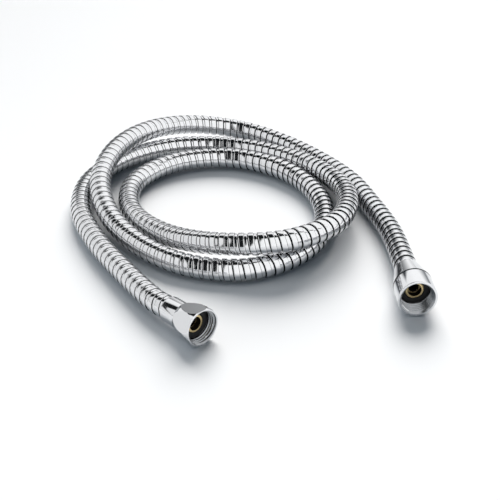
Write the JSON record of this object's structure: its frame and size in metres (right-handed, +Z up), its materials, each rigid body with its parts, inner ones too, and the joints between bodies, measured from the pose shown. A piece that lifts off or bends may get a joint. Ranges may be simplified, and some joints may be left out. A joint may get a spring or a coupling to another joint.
{
  "type": "shower hose",
  "caption": "Flexible metal-wound shower hose in a loose coil, with a short domed nut with spanner flats at the tap end and a long smooth conical nut at the handset end.",
  "frame": {"origin": "centre of the whole part's box on the floor that the coil lies on", "axes": "+Z up from the floor, +Y from the two nuts towards the far side of the coil, +X to the right"},
  "size_m": [0.233, 0.2869, 0.0302],
  "materials": {
    "wound_strip": "polished chrome plate on a double-lock wound steel strip",
    "plated_brass": "polished chrome plate on turned brass",
    "turned_brass": "bare turned brass",
    "washer_rubber": "matt black sealing rubber",
    "tube_rubber": "smooth extruded rubber, hidden in the winding"
  },
  "bodies": {
    "hose": {"outer_winding": "wound_strip", "inner_tube": "tube_rubber", "tap_core": "turned_brass", "tap_washer": "washer_rubber", "tap_ferrule": "plated_brass", "handset_core": "turned_brass", "handset_washer": "washer_rubber", "handset_ferrule": "plated_brass"},
    "tap_nut": {"tap_nut": "plated_brass"},
    "handset_nut": {"handset_nut": "plated_brass"}
  },
  "joints": [
    {"name": "tap_nut_spin", "type": "hinge", "parent": "hose", "child": "tap_nut", "pos_m": [-0.0196, -0.1356, 0.01109], "axis": [0.6877, -0.7247, 0.0436], "continuous": true},
    {"name": "handset_nut_spin", "type": "hinge", "parent": "hose", "child": "handset_nut", "pos_m": [0.10475, -0.108, 0.01234], "axis": [0.0645, -0.9973, 0.0349], "continuous": true}
  ]
}
